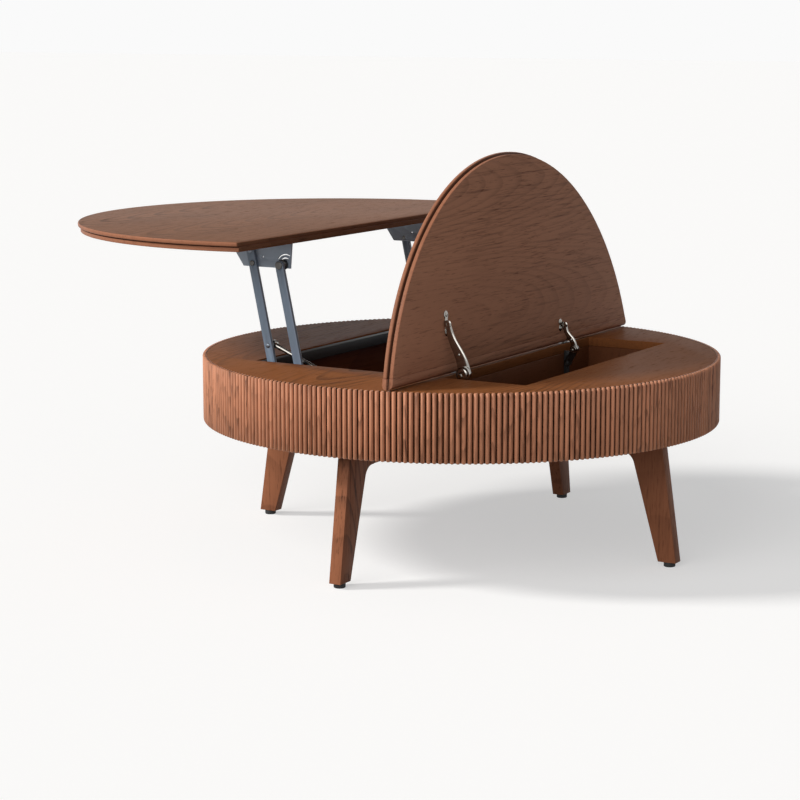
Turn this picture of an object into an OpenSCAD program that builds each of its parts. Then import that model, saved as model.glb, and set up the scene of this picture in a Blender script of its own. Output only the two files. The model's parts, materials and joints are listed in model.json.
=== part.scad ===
// Round coffee table. A reeded drum stands on a crossed base with four splayed legs.
// The top is two unequal segments of a disc. The large one swings up and forward on two
// parallel arms a side and stays level as a work surface. The small one is a hinged flap.
//
// Millimetres, +Z up, origin on the floor under the middle of the drum. +X points at the
// flap, and the seam between the two tops runs along Y. It is drawn with both tops open.

/* [Drum] */
// Outer radius of the drum, over the slats
drum_r = 500; // [480:1:640]
// Height of the drum's lower edge above the floor
drum_bottom_z = 248; // [200:1:300]
// Height of the deck above the floor
drum_top_z = 373; // [360:1:470]
// Depth of the slats on the rim
slat_depth = 8; // [5:0.5:12]
// Wall of the bent hoop behind the slats
hoop_wall = 12; // [8:1:20]
// Thickness of the deck board
deck_board_h = 18; // [15:1:22]
// Thickness of the bottom panel
bottom_h = 12; // [9:1:18]

/* [Wells] */
// Shelf between the rim and the wells, front and rear
shelf_y = 200; // [180:1:240]
// Shelf between the rim and the large well, on the side away from the flap
shelf_left = 223; // [200:1:240]
// Shelf between the rim and the small well, on the flap's side
shelf_right = 203; // [190:1:240]
// Width of the deck strip that carries the flap's hinges
strip_w = 35; // [30:1:50]
// Thickness of the boards round the wells
wall_board = 18; // [12:1:22]

/* [Base] */
// Height of the two crossing rails
rail_h = 37; // [30:1:45]
// Thickness of rails and legs
rail_w = 24; // [18:1:32]
// Distance of each foot's outer corner in from the drum's radius
leg_inset = 35; // [20:1:60]
// Width of a leg at the floor end
leg_foot_w = 36; // [28:1:50]
// Lean of a leg's outer edge in degrees
leg_outer_lean = 8.3; // [4:0.1:12]
// Lean of a leg's inner edge in degrees
leg_inner_lean = 16; // [12:0.5:20]
// Radius where a leg runs into its rail
leg_fillet_r = 25; // [10:1:40]
// Height of a levelling foot
foot_h = 9; // [6:1:15]
// Radius of a levelling foot
foot_r = 11; // [8:0.5:13]

/* [Tops] */
// Distance from the origin to the seam between the two tops
seam_x = 110; // [100:1:125]
// Space between the deck and a closed top
top_gap = 2; // [1.5:0.5:4]
// Thickness of the upper board of both tops
upper_board_h = 8; // [6:0.5:10]
// Height of the dark line between the two boards
shadow_line_h = 2; // [1:0.5:3]
// Thickness of the lower board of both tops
lower_board_h = 8; // [6.5:0.5:12]
// Setback of the tops from the drum's rim
top_inset = 2; // [0:0.5:6]
// Setback of the lower board from the upper one
lower_setback = 5; // [3:1:16]
// Width of the solid strip on the flap's straight edge
lipping_w = 19; // [15:1:30]

/* [Flap] */
// Opening angle of the flap
flap_open = 94; // [90:1:98]
// Place of the front hinge along the seam, just behind the large stay
front_hinge_y = -224; // [-250:1:-120]
// Place of the rear hinge along the seam, just behind the small stay
rear_hinge_y = 209; // [120:1:250]
// Length of a hinge knuckle
knuckle_l = 16; // [12:1:30]
// Radius of a hinge pin
hinge_pin_r = 2; // [1.5:0.1:2.5]

/* [Lift mechanism] */
// Rise of the lifted top
lift_rise = 224; // [200:1:250]
// Travel of the lifted top away from the seam
lift_reach = 298; // [285:1:305]
// Angle of the arms above the horizontal when closed
arm_closed_angle = 3.9; // [3:0.1:6]
// Distance between the two pivots of a side
arm_spacing = 66; // [60:1:80]
// Distance of the outer arm's lower pivot from the well's end wall
arm_foot_inset = 38; // [34:1:50]
// Depth of the lower pivots below the deck
pivot_drop = 58; // [50:1:62]
// Width of an arm
arm_w = 17; // [14:1:20]
// Thickness of an arm
arm_t = 6.5; // [4:0.5:7]
// Length of the outer arm beyond its upper pivot
arm_tail = 33; // [25:1:36]
// Radius of the pivot studs
stud_r = 4; // [3:0.5:5]
// Thickness of the sheet metal plates
plate_t = 2.5; // [2:0.5:3]

/* [Gas springs] */
// Distance of the gas spring's stud from the outer arm's lower pivot
gas_stud_reach = 88; // [80:1:95]
// Outer radius of the pressure tube
gas_tube_r = 9; // [7:0.5:9.5]
// Radius of the piston rod
gas_rod_r = 4; // [3:0.5:5]

/* [Flap stays] */
// Width of a stay's arms
stay_w = 14; // [10:1:16]
// Thickness of a stay's arms
stay_t = 4; // [3:0.5:5]
// Radius of the large stay's elbow cap
elbow_r = 13; // [10:0.5:13.5]

/* [Hidden] */

$fn = 96;
eps = 0.01;
run_gap = 0.06;      // radial clearance of a stud in its bore
face_gap = 0.3;      // space between faces that pass each other

// Colours
walnut = [0.45, 0.28, 0.19];
walnut_dark = [0.30, 0.18, 0.12];
walnut_pale = [0.55, 0.42, 0.34];
arm_grey = [0.38, 0.42, 0.48];
bright_steel = [0.80, 0.80, 0.82];
black_steel = [0.08, 0.08, 0.09];
black_rubber = [0.05, 0.05, 0.05];

// Drum
band_r = drum_r - slat_depth;
hoop_inner_r = band_r - hoop_wall;
floor_z = drum_bottom_z + bottom_h;
deck_under_z = drum_top_z - deck_board_h;

// Wells
well_y = drum_r - shelf_y;
left_x0 = -(drum_r - shelf_left);
right_x1 = drum_r - shelf_right;
top_h = upper_board_h + shadow_line_h + lower_board_h;
seam_gap = 1;
hinge_x = seam_x + seam_gap + top_h / 2;
right_x0 = hinge_x + 10;
left_x1 = right_x0 - strip_w;

// Base
rail_z = drum_bottom_z - rail_h;
leg_foot_r = drum_r - leg_inset;
leg_top_r = leg_foot_r - (drum_bottom_z - foot_h) * tan(leg_outer_lean);
leg_inner_foot_r = leg_foot_r - leg_foot_w;
leg_knee_r = leg_inner_foot_r - (rail_z - foot_h) * tan(leg_inner_lean);
rail_end_r = leg_knee_r - leg_fillet_r;
foot_centre_r = leg_foot_r - leg_foot_w / 2 + 1;
foot_stem_r = 3;
foot_stem_l = 20;

// Tops
top_under_z = drum_top_z + top_gap;
top_z = top_under_z + top_h;
upper_r = drum_r - top_inset;
lower_r = upper_r - lower_setback;
shadow_r = lower_r - 4;
hinge_z = top_under_z + top_h / 2;
lipping_x = seam_x + seam_gap + lipping_w;

// Flap hinges
knuckle_r = 4.5;
web_t = 5;
leaf_h = 2.5;
leaf_w = strip_w - 8;
notch_gap = 0.6;
pin_grip = 12;
leaf_l = knuckle_l + 24;
hinge_ys = [front_hinge_y, rear_hinge_y];

// Lift mechanism: the arms' swing follows from the reach and the rise
swing_mean = atan2(lift_reach, lift_rise);
arm_open_angle = 2 * swing_mean - arm_closed_angle;
arm_l = norm([lift_reach, lift_rise]) / (2 * sin((arm_open_angle - arm_closed_angle) / 2));
pivot_z = drum_top_z - pivot_drop;
outer_foot = [left_x0 + arm_foot_inset, pivot_z];
inner_foot = outer_foot + [arm_spacing, 0];
outer_head = outer_foot + arm_l * [cos(arm_open_angle), sin(arm_open_angle)];
inner_head = outer_head + [arm_spacing, 0];
lifted_under_z = top_under_z + lift_rise;

// Layers of the mechanism, counted inwards from the face of the well's wall
inner_arm_at = plate_t + 0.7;
dome_h = 2.4;
outer_arm_at = inner_arm_at + arm_t + dome_h + 0.4;
bracket_at = outer_arm_at + arm_t + 1;
gas_at = bracket_at + plate_t + gas_tube_r + 0.5;

// Fixed plate and stop bar
plate_x1 = left_x0 + 307;
plate_top_z = drum_top_z - 2;
plate_bottom_z = drum_top_z - 90;
bar_h = 20;
bar_w = 15;
arm_edge = arm_w / 2 / sin(arm_open_angle);
bar_x1 = outer_foot[0] + (plate_top_z - pivot_z) / tan(arm_open_angle) - arm_edge - face_gap;

// Lift bracket, drawn round the upper pivots
bracket_drop = lifted_under_z - outer_head[1] + 7;
bracket_flange = 28;
slot_outer_r = 19;
slot_inner_r = 12.5;
slot_w = 2;

// Gas springs
gas_foot = [left_x0 + 297, drum_top_z - 83];
gas_head = outer_foot + gas_stud_reach * [cos(arm_open_angle), sin(arm_open_angle)];
gas_l = norm(gas_head - gas_foot);
gas_slope = atan2(gas_head[1] - gas_foot[1], gas_head[0] - gas_foot[0]);
gas_head_closed = outer_foot + gas_stud_reach * [cos(arm_closed_angle), sin(arm_closed_angle)];
gas_closed_l = norm(gas_head_closed - gas_foot);
gas_eye_r = 8;
gas_eye_l = 14;
gas_notch = stud_r + 4;
gas_tube_l = gas_closed_l - gas_eye_l - 6;
gas_tube_wall = 1.5;
gas_gland_l = 8;
gas_piston_l = 6;
gas_rod_l = gas_l - gas_tube_l + gas_gland_l + gas_piston_l + 0.8;

// Flap stays: each is a parallelogram with the hinge line as its fourth corner.
// [anchor on the flap from the hinge, fixed pivot from the hinge], with the flap open
large_stay = [[13.7, 85.6], [34.3, -88]];
small_stay = [[16, 29], [20, -47]];
large_stay_y = well_y;
small_stay_y = -190;
stay_lower_at = plate_t + 1;
stay_upper_at = stay_lower_at + stay_t + 1;
stay_ear_at = stay_upper_at + stay_t + 1;
stay_pin_r = 3;

// ---------- helpers ----------

// Extrudes a drawing in X and Z across a span of Y, inwards from the face y = -face
module across(face, from, to) {
    translate([0, to - face, 0]) rotate([90, 0, 0]) linear_extrude(to - from) children();
}

// The rear side of the mechanism is the front one mirrored
module rear() mirror([0, 1, 0]) children();

// Flat bar with round ends between two points
module bar_outline(a, b, w) {
    span = b - a;
    translate(a) rotate(atan2(span[1], span[0])) {
        translate([0, -w / 2]) square([norm(span), w]);
        circle(d = w);
        translate([norm(span), 0]) circle(d = w);
    }
}

module disc_at(p, r) translate(p) circle(r);

// Domed rivet head that stands out towards the wall, on a face at depth
module dome(face, at, p, r, h) {
    translate([p[0], at - face, p[1]]) rotate([90, 0, 0])
        rotate_extrude() intersection() {
            square([r, h]);
            translate([0, h - (r * r + h * h) / (2 * h)]) circle((r * r + h * h) / (2 * h));
        }
}

// Turns what is drawn closed to the flap's open position
module flap_pose() {
    translate([hinge_x, 0, hinge_z]) rotate([0, -flap_open, 0])
        translate([-hinge_x, 0, -hinge_z]) children();
}

// Moves what is drawn closed to the lifted position
module lift_pose() translate([-lift_reach, 0, lift_rise]) children();

module ring(outer, inner, z0, z1) {
    translate([0, 0, z0]) difference() {
        cylinder(r = outer, h = z1 - z0, $fn = 240);
        translate([0, 0, -1]) cylinder(r = inner, h = z1 - z0 + 2, $fn = 240);
    }
}

// Box from one corner to the opposite one
module block(a, b) translate(a) cube(b - a);

// ---------- drum ----------

module slat_band() color(walnut) ring(drum_r, band_r, drum_bottom_z, drum_top_z);

module drum_hoop() color(walnut_dark) ring(band_r, hoop_inner_r, floor_z, deck_under_z);

module deck_board() color(walnut) difference() {
    translate([0, 0, deck_under_z]) cylinder(r = band_r, h = deck_board_h, $fn = 240);
    block([left_x0, -well_y, deck_under_z - 1], [left_x1, well_y, drum_top_z + 1]);
    block([right_x0, -well_y, deck_under_z - 1], [right_x1, well_y, drum_top_z + 1]);
    for (y = hinge_ys) hinge_leaf(y, 1);
}

module bottom_panel() color(walnut_dark)
    translate([0, 0, drum_bottom_z]) cylinder(r = band_r, h = bottom_h, $fn = 240);

// The outer corners of the long walls are cut to the hoop where they reach it
module front_wall() color(walnut_dark) intersection() {
    block([left_x0 - wall_board, -well_y - wall_board, floor_z],
        [right_x1 + wall_board, -well_y, deck_under_z]);
    cylinder(r = hoop_inner_r, h = drum_top_z, $fn = 240);
}

module rear_wall() rear() front_wall();

module cross_wall(x0) color(walnut_dark)
    block([x0, -well_y, floor_z], [x0 + wall_board, well_y, deck_under_z]);

module left_wall() cross_wall(left_x0 - wall_board);

module right_wall() cross_wall(right_x1);

module divider() cross_wall(right_x0 - wall_board);

// ---------- base ----------

module rail() color(walnut_dark)
    block([-rail_end_r, -rail_w / 2, rail_z], [rail_end_r, rail_w / 2, drum_bottom_z]);

// The rails are half lapped where they cross
module lap_cut(z0, z1)
    block([-rail_w / 2, -rail_w, z0], [rail_w / 2, rail_w, z1]);

module rail_x() difference() {
    rail();
    color(walnut_dark) lap_cut(rail_z + rail_h / 2, drum_bottom_z + 1);
}

module rail_y() rotate([0, 0, 90]) difference() {
    rail();
    color(walnut_dark) lap_cut(rail_z - 1, rail_z + rail_h / 2);
}

// Side view of a leg, in its distance from the middle and its height
module leg_outline() {
    polygon([[leg_inner_foot_r, foot_h], [leg_foot_r, foot_h], [leg_top_r, drum_bottom_z],
        [rail_end_r, drum_bottom_z], [rail_end_r, rail_z], [leg_knee_r, rail_z]]);
    along_rail = [-1, 0];
    down_leg = [sin(leg_inner_lean), -cos(leg_inner_lean)];
    half_angle = (90 + leg_inner_lean) / 2;
    reach = leg_fillet_r / tan(half_angle);
    middle = (along_rail + down_leg) / norm(along_rail + down_leg);
    knee = [leg_knee_r, rail_z];
    difference() {
        polygon([knee, knee + reach * along_rail, knee + reach * down_leg]);
        disc_at(knee + middle * leg_fillet_r / sin(half_angle), leg_fillet_r);
    }
}

module leg(turn) color(walnut_dark) rotate([0, 0, turn]) difference() {
    translate([0, rail_w / 2, 0]) rotate([90, 0, 0]) linear_extrude(rail_w) leg_outline();
    translate([foot_centre_r, 0, 0]) cylinder(r = foot_stem_r, h = foot_h + foot_stem_l);
}

module leg_right() leg(0);
module leg_back() leg(90);
module leg_left() leg(180);
module leg_front() leg(270);

module levelling_feet() color(black_rubber)
    for (turn = [0 : 90 : 270]) rotate([0, 0, turn]) translate([foot_centre_r, 0, 0]) {
        cylinder(r1 = foot_r - 1, r2 = foot_r, h = 1, $fn = 48);
        translate([0, 0, 1]) cylinder(r = foot_r, h = foot_h - 1, $fn = 48);
        cylinder(r = foot_stem_r, h = foot_h + foot_stem_l, $fn = 48);
    }

// Small pads under the lift top, which it rests on when it is down
module top_pads() color(black_rubber) lift_pose()
    for (turn = [115, 150, 210, 245]) rotate([0, 0, turn])
        translate([lower_r - 40, 0, drum_top_z + face_gap])
            cylinder(r = 5, h = top_gap - face_gap, $fn = 48);

// ---------- tops ----------

// One segment of the round top, between two heights
module top_segment(r, z0, z1, x0, x1) intersection() {
    translate([0, 0, z0]) cylinder(r = r, h = z1 - z0, $fn = 240);
    block([x0, -drum_r, z0 - 1], [x1, drum_r, z1 + 1]);
}

module upper_board(x0, x1)
    top_segment(upper_r, top_z - upper_board_h, top_z, x0, x1);

module lower_board(x0, x1) {
    top_segment(lower_r, top_under_z, top_under_z + lower_board_h, x0, x1);
    top_segment(shadow_r, top_under_z + lower_board_h - eps, top_z - upper_board_h, x0, x1);
}

module lift_top_board() color(walnut_pale) lift_pose()
    upper_board(-drum_r, seam_x - seam_gap);

module lift_top_underboard() color(walnut_pale) lift_pose()
    lower_board(-drum_r, seam_x - seam_gap);

module flap_board() color(walnut) flap_pose() upper_board(lipping_x, drum_r);

module flap_underboard() color(walnut) flap_pose() lower_board(lipping_x, drum_r);

// Solid strip with a half-round nose, notched for the hinge knuckles
module flap_lipping() color(walnut) flap_pose() difference() {
    intersection() {
        union() {
            translate([hinge_x, drum_r, hinge_z]) rotate([90, 0, 0])
                cylinder(r = top_h / 2, h = 2 * drum_r);
            block([hinge_x, -drum_r, top_under_z], [lipping_x, drum_r, top_z]);
        }
        union() {
            top_segment(upper_r, top_z - upper_board_h, top_z + 1, 0, drum_r);
            top_segment(lower_r, top_under_z - 1, top_z - upper_board_h, 0, drum_r);
        }
    }
    for (y = hinge_ys) {
        translate([hinge_x, y + knuckle_l / 2 + notch_gap, hinge_z]) rotate([90, 0, 0])
            cylinder(r = knuckle_r + notch_gap, h = knuckle_l + 2 * notch_gap);
        block([hinge_x - top_h, y - knuckle_l / 2 - notch_gap, top_under_z - 1],
            [hinge_x + web_t / 2 + notch_gap, y + knuckle_l / 2 + notch_gap,
            hinge_z + web_t / 2 + notch_gap]);
        hinge_pin(y, 0);
    }
}

// ---------- flap hinges ----------

module hinge_pin(y, gap) {
    l = knuckle_l + 2 * pin_grip;
    translate([hinge_x, y + l / 2, hinge_z]) rotate([90, 0, 0])
        cylinder(r = hinge_pin_r + gap, h = l, $fn = 48);
}

module hinge_leaf(y, above)
    block([left_x1 + 4, y - leaf_l / 2, drum_top_z - leaf_h],
        [left_x1 + 4 + leaf_w, y + leaf_l / 2, drum_top_z + above]);

module hinge_screw_at(y) translate([left_x1 + 10, y, drum_top_z - leaf_h]) children();

// A fixed knuckle on a web, with a leaf let into the deck strip
module hinge_knuckles() color(bright_steel) for (y = hinge_ys) difference() {
    union() {
        hinge_leaf(y, 0);
        block([hinge_x - web_t / 2, y - knuckle_l / 2, drum_top_z - 1],
            [hinge_x + web_t / 2, y + knuckle_l / 2, hinge_z]);
        translate([hinge_x, y + knuckle_l / 2, hinge_z]) rotate([90, 0, 0])
            cylinder(r = knuckle_r, h = knuckle_l, $fn = 48);
    }
    hinge_pin(y, run_gap);
    for (side = [-1, 1]) hinge_screw_at(y + side * leaf_l / 3)
        translate([0, 0, -1]) cylinder(r = 3, h = leaf_h + 2, $fn = 48);
}

module hinge_pins() color(bright_steel) for (y = hinge_ys) hinge_pin(y, 0);

module hinge_screws() color(bright_steel)
    for (y = hinge_ys, side = [-1, 1]) hinge_screw_at(y + side * leaf_l / 3)
        cylinder(r = 3, h = leaf_h, $fn = 48);

// ---------- lift mechanism ----------

plate_screw_spots = [for (x = [left_x0 + 12, left_x0 + 150, plate_x1 - 60])
    [x, plate_bottom_z + 10]];

// Fixed plate on the well's wall
module fixed_plate() color(arm_grey) difference() {
    across(well_y, 0, plate_t) difference() {
        translate([left_x0, plate_bottom_z])
            square([plate_x1 - left_x0, plate_top_z - plate_bottom_z]);
        translate([inner_foot[0] + 40, pivot_z + 28]) square([plate_x1, drum_top_z]);
    }
    for (p = plate_screw_spots) across(well_y, -1, plate_t + 1) disc_at(p, 4);
    for (p = [outer_foot, inner_foot, gas_foot])
        across(well_y, -1, plate_t + 1) disc_at(p, stud_r);
}

module front_plate() fixed_plate();
module rear_plate() rear() fixed_plate();

module side_screws() for (p = plate_screw_spots) across(well_y, 0, plate_t) disc_at(p, 4);

module plate_screws() color(bright_steel) {
    side_screws();
    rear() side_screws();
}

// Bar from plate to plate that the open arms lean on
module stop_bar() color(black_steel)
    block([bar_x1 - bar_w, -well_y + plate_t, plate_top_z - bar_h],
        [bar_x1, well_y - plate_t, plate_top_z]);

// Studs in the fixed plate: collar, shank through the arm, head
module lower_studs() color(bright_steel) {
    for (p = [outer_foot, inner_foot, gas_foot]) across(well_y, 0, plate_t) disc_at(p, stud_r);
    across(well_y, plate_t, outer_arm_at - face_gap) disc_at(outer_foot, stud_r + 3);
    across(well_y, outer_arm_at - face_gap - eps, outer_arm_at + arm_t + face_gap)
        disc_at(outer_foot, stud_r);
    across(well_y, outer_arm_at + arm_t + face_gap, bracket_at + 1)
        disc_at(outer_foot, stud_r + 2.5);
    across(well_y, plate_t - eps, inner_arm_at + arm_t + face_gap)
        disc_at(inner_foot, stud_r);
    across(well_y, inner_arm_at + arm_t + face_gap, inner_arm_at + arm_t + 2)
        disc_at(inner_foot, stud_r + 2.5);
    across(well_y, plate_t, gas_at - gas_eye_r + 2.7) disc_at(gas_foot, stud_r + 3);
    across(well_y, gas_at - gas_eye_r + 2.7 - eps, gas_at + gas_eye_r - 3 + face_gap)
        disc_at(gas_foot, stud_r);
    across(well_y, gas_at + gas_eye_r - 3 + face_gap, gas_at + gas_eye_r - 1)
        disc_at(gas_foot, stud_r + 2.5);
}

module front_lower_studs() lower_studs();
module rear_lower_studs() rear() lower_studs();

arm_way = [cos(arm_open_angle), sin(arm_open_angle)];
tail_end = outer_head + (arm_tail - arm_w / 2) * arm_way;
arm_bolt_spot = outer_head + (arm_tail - arm_w / 2 - 1) * arm_way;

// Both arms stand a little past the vertical when the top is up
module outer_arm() color(arm_grey) across(well_y, outer_arm_at, outer_arm_at + arm_t)
    difference() {
        bar_outline(outer_foot, tail_end, arm_w);
        disc_at(outer_foot, stud_r + run_gap);
        disc_at(outer_head, stud_r + run_gap);
        disc_at(gas_head, stud_r - 1);
        disc_at(arm_bolt_spot, stud_r - 1);
    }

module inner_arm() color(arm_grey) across(well_y, inner_arm_at, inner_arm_at + arm_t)
    difference() {
        bar_outline(inner_foot, inner_head, arm_w);
        disc_at(inner_foot, stud_r + run_gap);
        disc_at(inner_head, stud_r + run_gap);
    }

module front_outer_arm() outer_arm();
module rear_outer_arm() rear() outer_arm();
module front_inner_arm() inner_arm();
module rear_inner_arm() rear() inner_arm();

// Domed bolts in the outer arm: a short one in the tail, and the gas spring's stud
module arm_bolt() color(bright_steel) {
    for (p = [arm_bolt_spot, gas_head]) {
        dome(well_y, outer_arm_at, p, 5, dome_h);
        across(well_y, outer_arm_at, outer_arm_at + arm_t) disc_at(p, stud_r - 1);
    }
    across(well_y, outer_arm_at + arm_t, gas_at - gas_eye_r + 3 - face_gap)
        disc_at(gas_head, stud_r + 1);
}

module front_arm_bolt() arm_bolt();
module rear_arm_bolt() rear() arm_bolt();

// Curved slot round a point, from one angle to another
module arc_slot(p, r, from, to) translate(p) intersection() {
    difference() {
        circle(r + slot_w / 2);
        circle(r - slot_w / 2);
    }
    polygon([[0, 0], 3 * r * [cos(from), sin(from)], 3 * r * [cos((from + to) / 2),
        sin((from + to) / 2)], 3 * r * [cos(to), sin(to)]]);
}

// Bracket under the lifted top: a plate with two slots round the inner pivot, and a flange
module bracket() color(arm_grey) {
    x0 = outer_head[0] - 60;
    x1 = inner_head[0] + 19;
    difference() {
        across(well_y, bracket_at, bracket_at + plate_t) difference() {
            polygon([[x0, lifted_under_z], [x0 + 35, lifted_under_z - bracket_drop],
                [x1 - 4, lifted_under_z - bracket_drop], [x1, lifted_under_z]]);
            disc_at(outer_head, stud_r);
            disc_at(inner_head, stud_r);
            disc_at(outer_head + [19, 12], 1.5);
            arc_slot(inner_head + [4, 0], slot_outer_r, 60, 150);
            arc_slot(inner_head + [4, 0], slot_inner_r, 60, 165);
        }
    }
    block([x0 + 2, -well_y + bracket_at + plate_t - eps, lifted_under_z - plate_t],
        [x1, -well_y + bracket_at + bracket_flange, lifted_under_z]);
}

module front_bracket() bracket();
module rear_bracket() rear() bracket();

// Studs in the bracket: head on the arm's outer face, shank through it to the bracket
module upper_studs() color(bright_steel) {
    across(well_y, outer_arm_at - dome_h, outer_arm_at - face_gap)
        disc_at(outer_head, stud_r + 1);
    across(well_y, outer_arm_at - face_gap - eps, bracket_at + plate_t)
        disc_at(outer_head, stud_r);
    across(well_y, inner_arm_at - 2, inner_arm_at - face_gap) disc_at(inner_head, stud_r + 3.5);
    across(well_y, inner_arm_at - face_gap - eps, bracket_at + plate_t)
        disc_at(inner_head, stud_r);
    across(well_y, inner_arm_at + arm_t + face_gap, bracket_at) disc_at(inner_head, stud_r + 6);
}

module front_upper_studs() upper_studs();
module rear_upper_studs() rear() upper_studs();

module side_bracket_screws() for (x = [outer_head[0] - 35, outer_head[0] + 45])
    translate([x, -well_y + bracket_at + bracket_flange / 2, lifted_under_z - plate_t - 2])
        cylinder(r1 = 3, r2 = 4.5, h = 2, $fn = 48);

module bracket_screws() color(bright_steel) {
    side_bracket_screws();
    rear() side_bracket_screws();
}

// ---------- gas springs ----------

// Places what is drawn along +Z so that it runs from the gas spring's fixed pivot to the arm
module along_gas() translate([gas_foot[0], gas_at - well_y, gas_foot[1]])
    rotate([0, 90 - gas_slope, 0]) children();

module gas_eye(thickness) rotate([90, 0, 0]) translate([0, 0, -thickness / 2])
    cylinder(r = gas_eye_r, h = thickness, $fn = 48);

module gas_tube() color(black_steel) along_gas() difference() {
    union() {
        translate([0, 0, gas_eye_r / 2]) rotate_extrude() difference() {
            square([gas_tube_r, gas_tube_l - gas_eye_r / 2]);
            translate([0, gas_eye_r]) square([gas_tube_r - gas_tube_wall,
                gas_tube_l - 1.5 * gas_eye_r - gas_gland_l]);
            square([gas_rod_r + run_gap, gas_tube_l]);
        }
        cylinder(r = gas_rod_r + 2, h = gas_eye_r * 1.4, $fn = 48);
        gas_eye(2 * gas_eye_r - 6);
    }
    rotate([90, 0, 0]) translate([0, 0, -gas_eye_r])
        cylinder(r = stud_r + run_gap, h = 2 * gas_eye_r, $fn = 48);
    for (side = [-1, 1]) translate([-gas_tube_r - 1, side * (gas_eye_r + 1) - 4, -gas_eye_r - 1])
        cube([2 * gas_tube_r + 2, 8 - eps, gas_eye_r + gas_notch]);
}

module front_gas_tube() gas_tube();
module rear_gas_tube() rear() gas_tube();

// Bright rod with its piston, and the dark end fitting on the arm's stud
module gas_rod() color(bright_steel) along_gas() {
    translate([0, 0, gas_l - gas_rod_l]) cylinder(r = gas_rod_r, h = gas_rod_l - gas_eye_r);
    translate([0, 0, gas_l - gas_rod_l])
        cylinder(r = gas_tube_r - gas_tube_wall - 0.2, h = gas_piston_l);
    translate([0, 0, gas_l]) gas_eye(2 * gas_eye_r - 6);
    translate([0, 0, gas_l - gas_eye_l - 4]) cylinder(r = gas_rod_r + 0.8, h = gas_eye_l);
}

module front_gas_rod() gas_rod();
module rear_gas_rod() rear() gas_rod();

// ---------- flap stays ----------

function stay_hinge() = [hinge_x, hinge_z];
function stay_anchor(stay) = stay_hinge() + stay[0];
function stay_foot(stay) = stay_hinge() + stay[1];
function stay_elbow(stay) = stay_foot(stay) + stay[0];

module stay_lower_arm(face, stay, cap_r) color(bright_steel) {
    across(face, stay_lower_at, stay_lower_at + stay_t) difference() {
        union() {
            bar_outline(stay_foot(stay), stay_elbow(stay), stay_w);
            disc_at(stay_elbow(stay), cap_r);
        }
        disc_at(stay_foot(stay), stay_pin_r + run_gap);
    }
    across(face, stay_lower_at + stay_t - eps, stay_upper_at + stay_t + face_gap)
        disc_at(stay_elbow(stay), stay_pin_r);
}

module stay_upper_arm(face, stay, cap_r) color(bright_steel)
    across(face, stay_upper_at, stay_upper_at + stay_t) difference() {
        union() {
            bar_outline(stay_elbow(stay), stay_anchor(stay), stay_w);
            disc_at(stay_elbow(stay), cap_r);
        }
        disc_at(stay_elbow(stay), stay_pin_r + run_gap);
        disc_at(stay_anchor(stay), stay_pin_r + run_gap);
    }

// Ear and flange on the flap, drawn at the stay's anchor with the flap closed
module stay_bracket(face, stay, length) color(bright_steel) flap_pose() {
    turn = [[cos(flap_open), sin(flap_open)], [-sin(flap_open), cos(flap_open)]];
    anchor = stay_hinge() + turn * stay[0];
    across(face, stay_ear_at, stay_ear_at + plate_t) {
        translate([anchor[0] - stay_w / 2, anchor[1]])
            square([stay_w, top_under_z - anchor[1]]);
        disc_at(anchor, stay_w / 2);
    }
    across(face, stay_upper_at - face_gap, stay_ear_at + eps) disc_at(anchor, stay_pin_r);
    block([anchor[0] - length / 2, -face + stay_ear_at, top_under_z - 2],
        [anchor[0] + length / 2, -face + stay_ear_at + 15, top_under_z]);
}

module large_stay_base() color(bright_steel) {
    foot = stay_foot(large_stay);
    across(large_stay_y, 0, plate_t) difference() {
        translate([foot[0] - 14, foot[1] - 24]) square([28, 75]);
        disc_at(foot + [0, 40], 3);
        disc_at(foot + [0, -16], 3);
    }
    across(large_stay_y, plate_t - eps, stay_lower_at + stay_t + face_gap)
        disc_at(foot, stay_pin_r);
}

module large_stay_lower_arm() stay_lower_arm(large_stay_y, large_stay, elbow_r);
module large_stay_upper_arm() stay_upper_arm(large_stay_y, large_stay, elbow_r - 1);
module large_stay_bracket() stay_bracket(large_stay_y, large_stay, 46);

// The small stay stands on an angle plate that is screwed to the divider
module small_stay_base() rear() color(black_steel) {
    foot = stay_foot(small_stay);
    face = -small_stay_y;
    across(face, 0, plate_t) {
        translate([right_x0, foot[1] - 27]) square([foot[0] - right_x0, 50]);
        disc_at(foot, stay_w / 2);
    }
    across(face, plate_t - eps, stay_lower_at + stay_t + face_gap) disc_at(foot, stay_pin_r);
    difference() {
        block([right_x0, -face - 18, foot[1] - 27], [right_x0 + plate_t, -face + eps, foot[1] + 17]);
        for (z = [-20, -5, 10]) translate([right_x0 - 1, -face - 9, foot[1] + z])
            rotate([0, 90, 0]) cylinder(r = 2.5, h = plate_t + 2, $fn = 48);
    }
}

module small_stay_lower_arm() rear() stay_lower_arm(-small_stay_y, small_stay, stay_w / 2 + 1);
module small_stay_upper_arm() rear() stay_upper_arm(-small_stay_y, small_stay, stay_w / 2 + 1);
module small_stay_bracket() rear() stay_bracket(-small_stay_y, small_stay, 26);

module stay_screws() color(bright_steel) {
    for (dz = [40, -16]) across(large_stay_y, 0, plate_t)
        disc_at(stay_foot(large_stay) + [0, dz], 3);
    foot = stay_foot(small_stay);
    for (z = [-20, -5, 10]) translate([right_x0, -small_stay_y + 9, foot[1] + z])
        rotate([0, 90, 0]) cylinder(r = 2.5, h = plate_t, $fn = 48);
}

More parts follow.
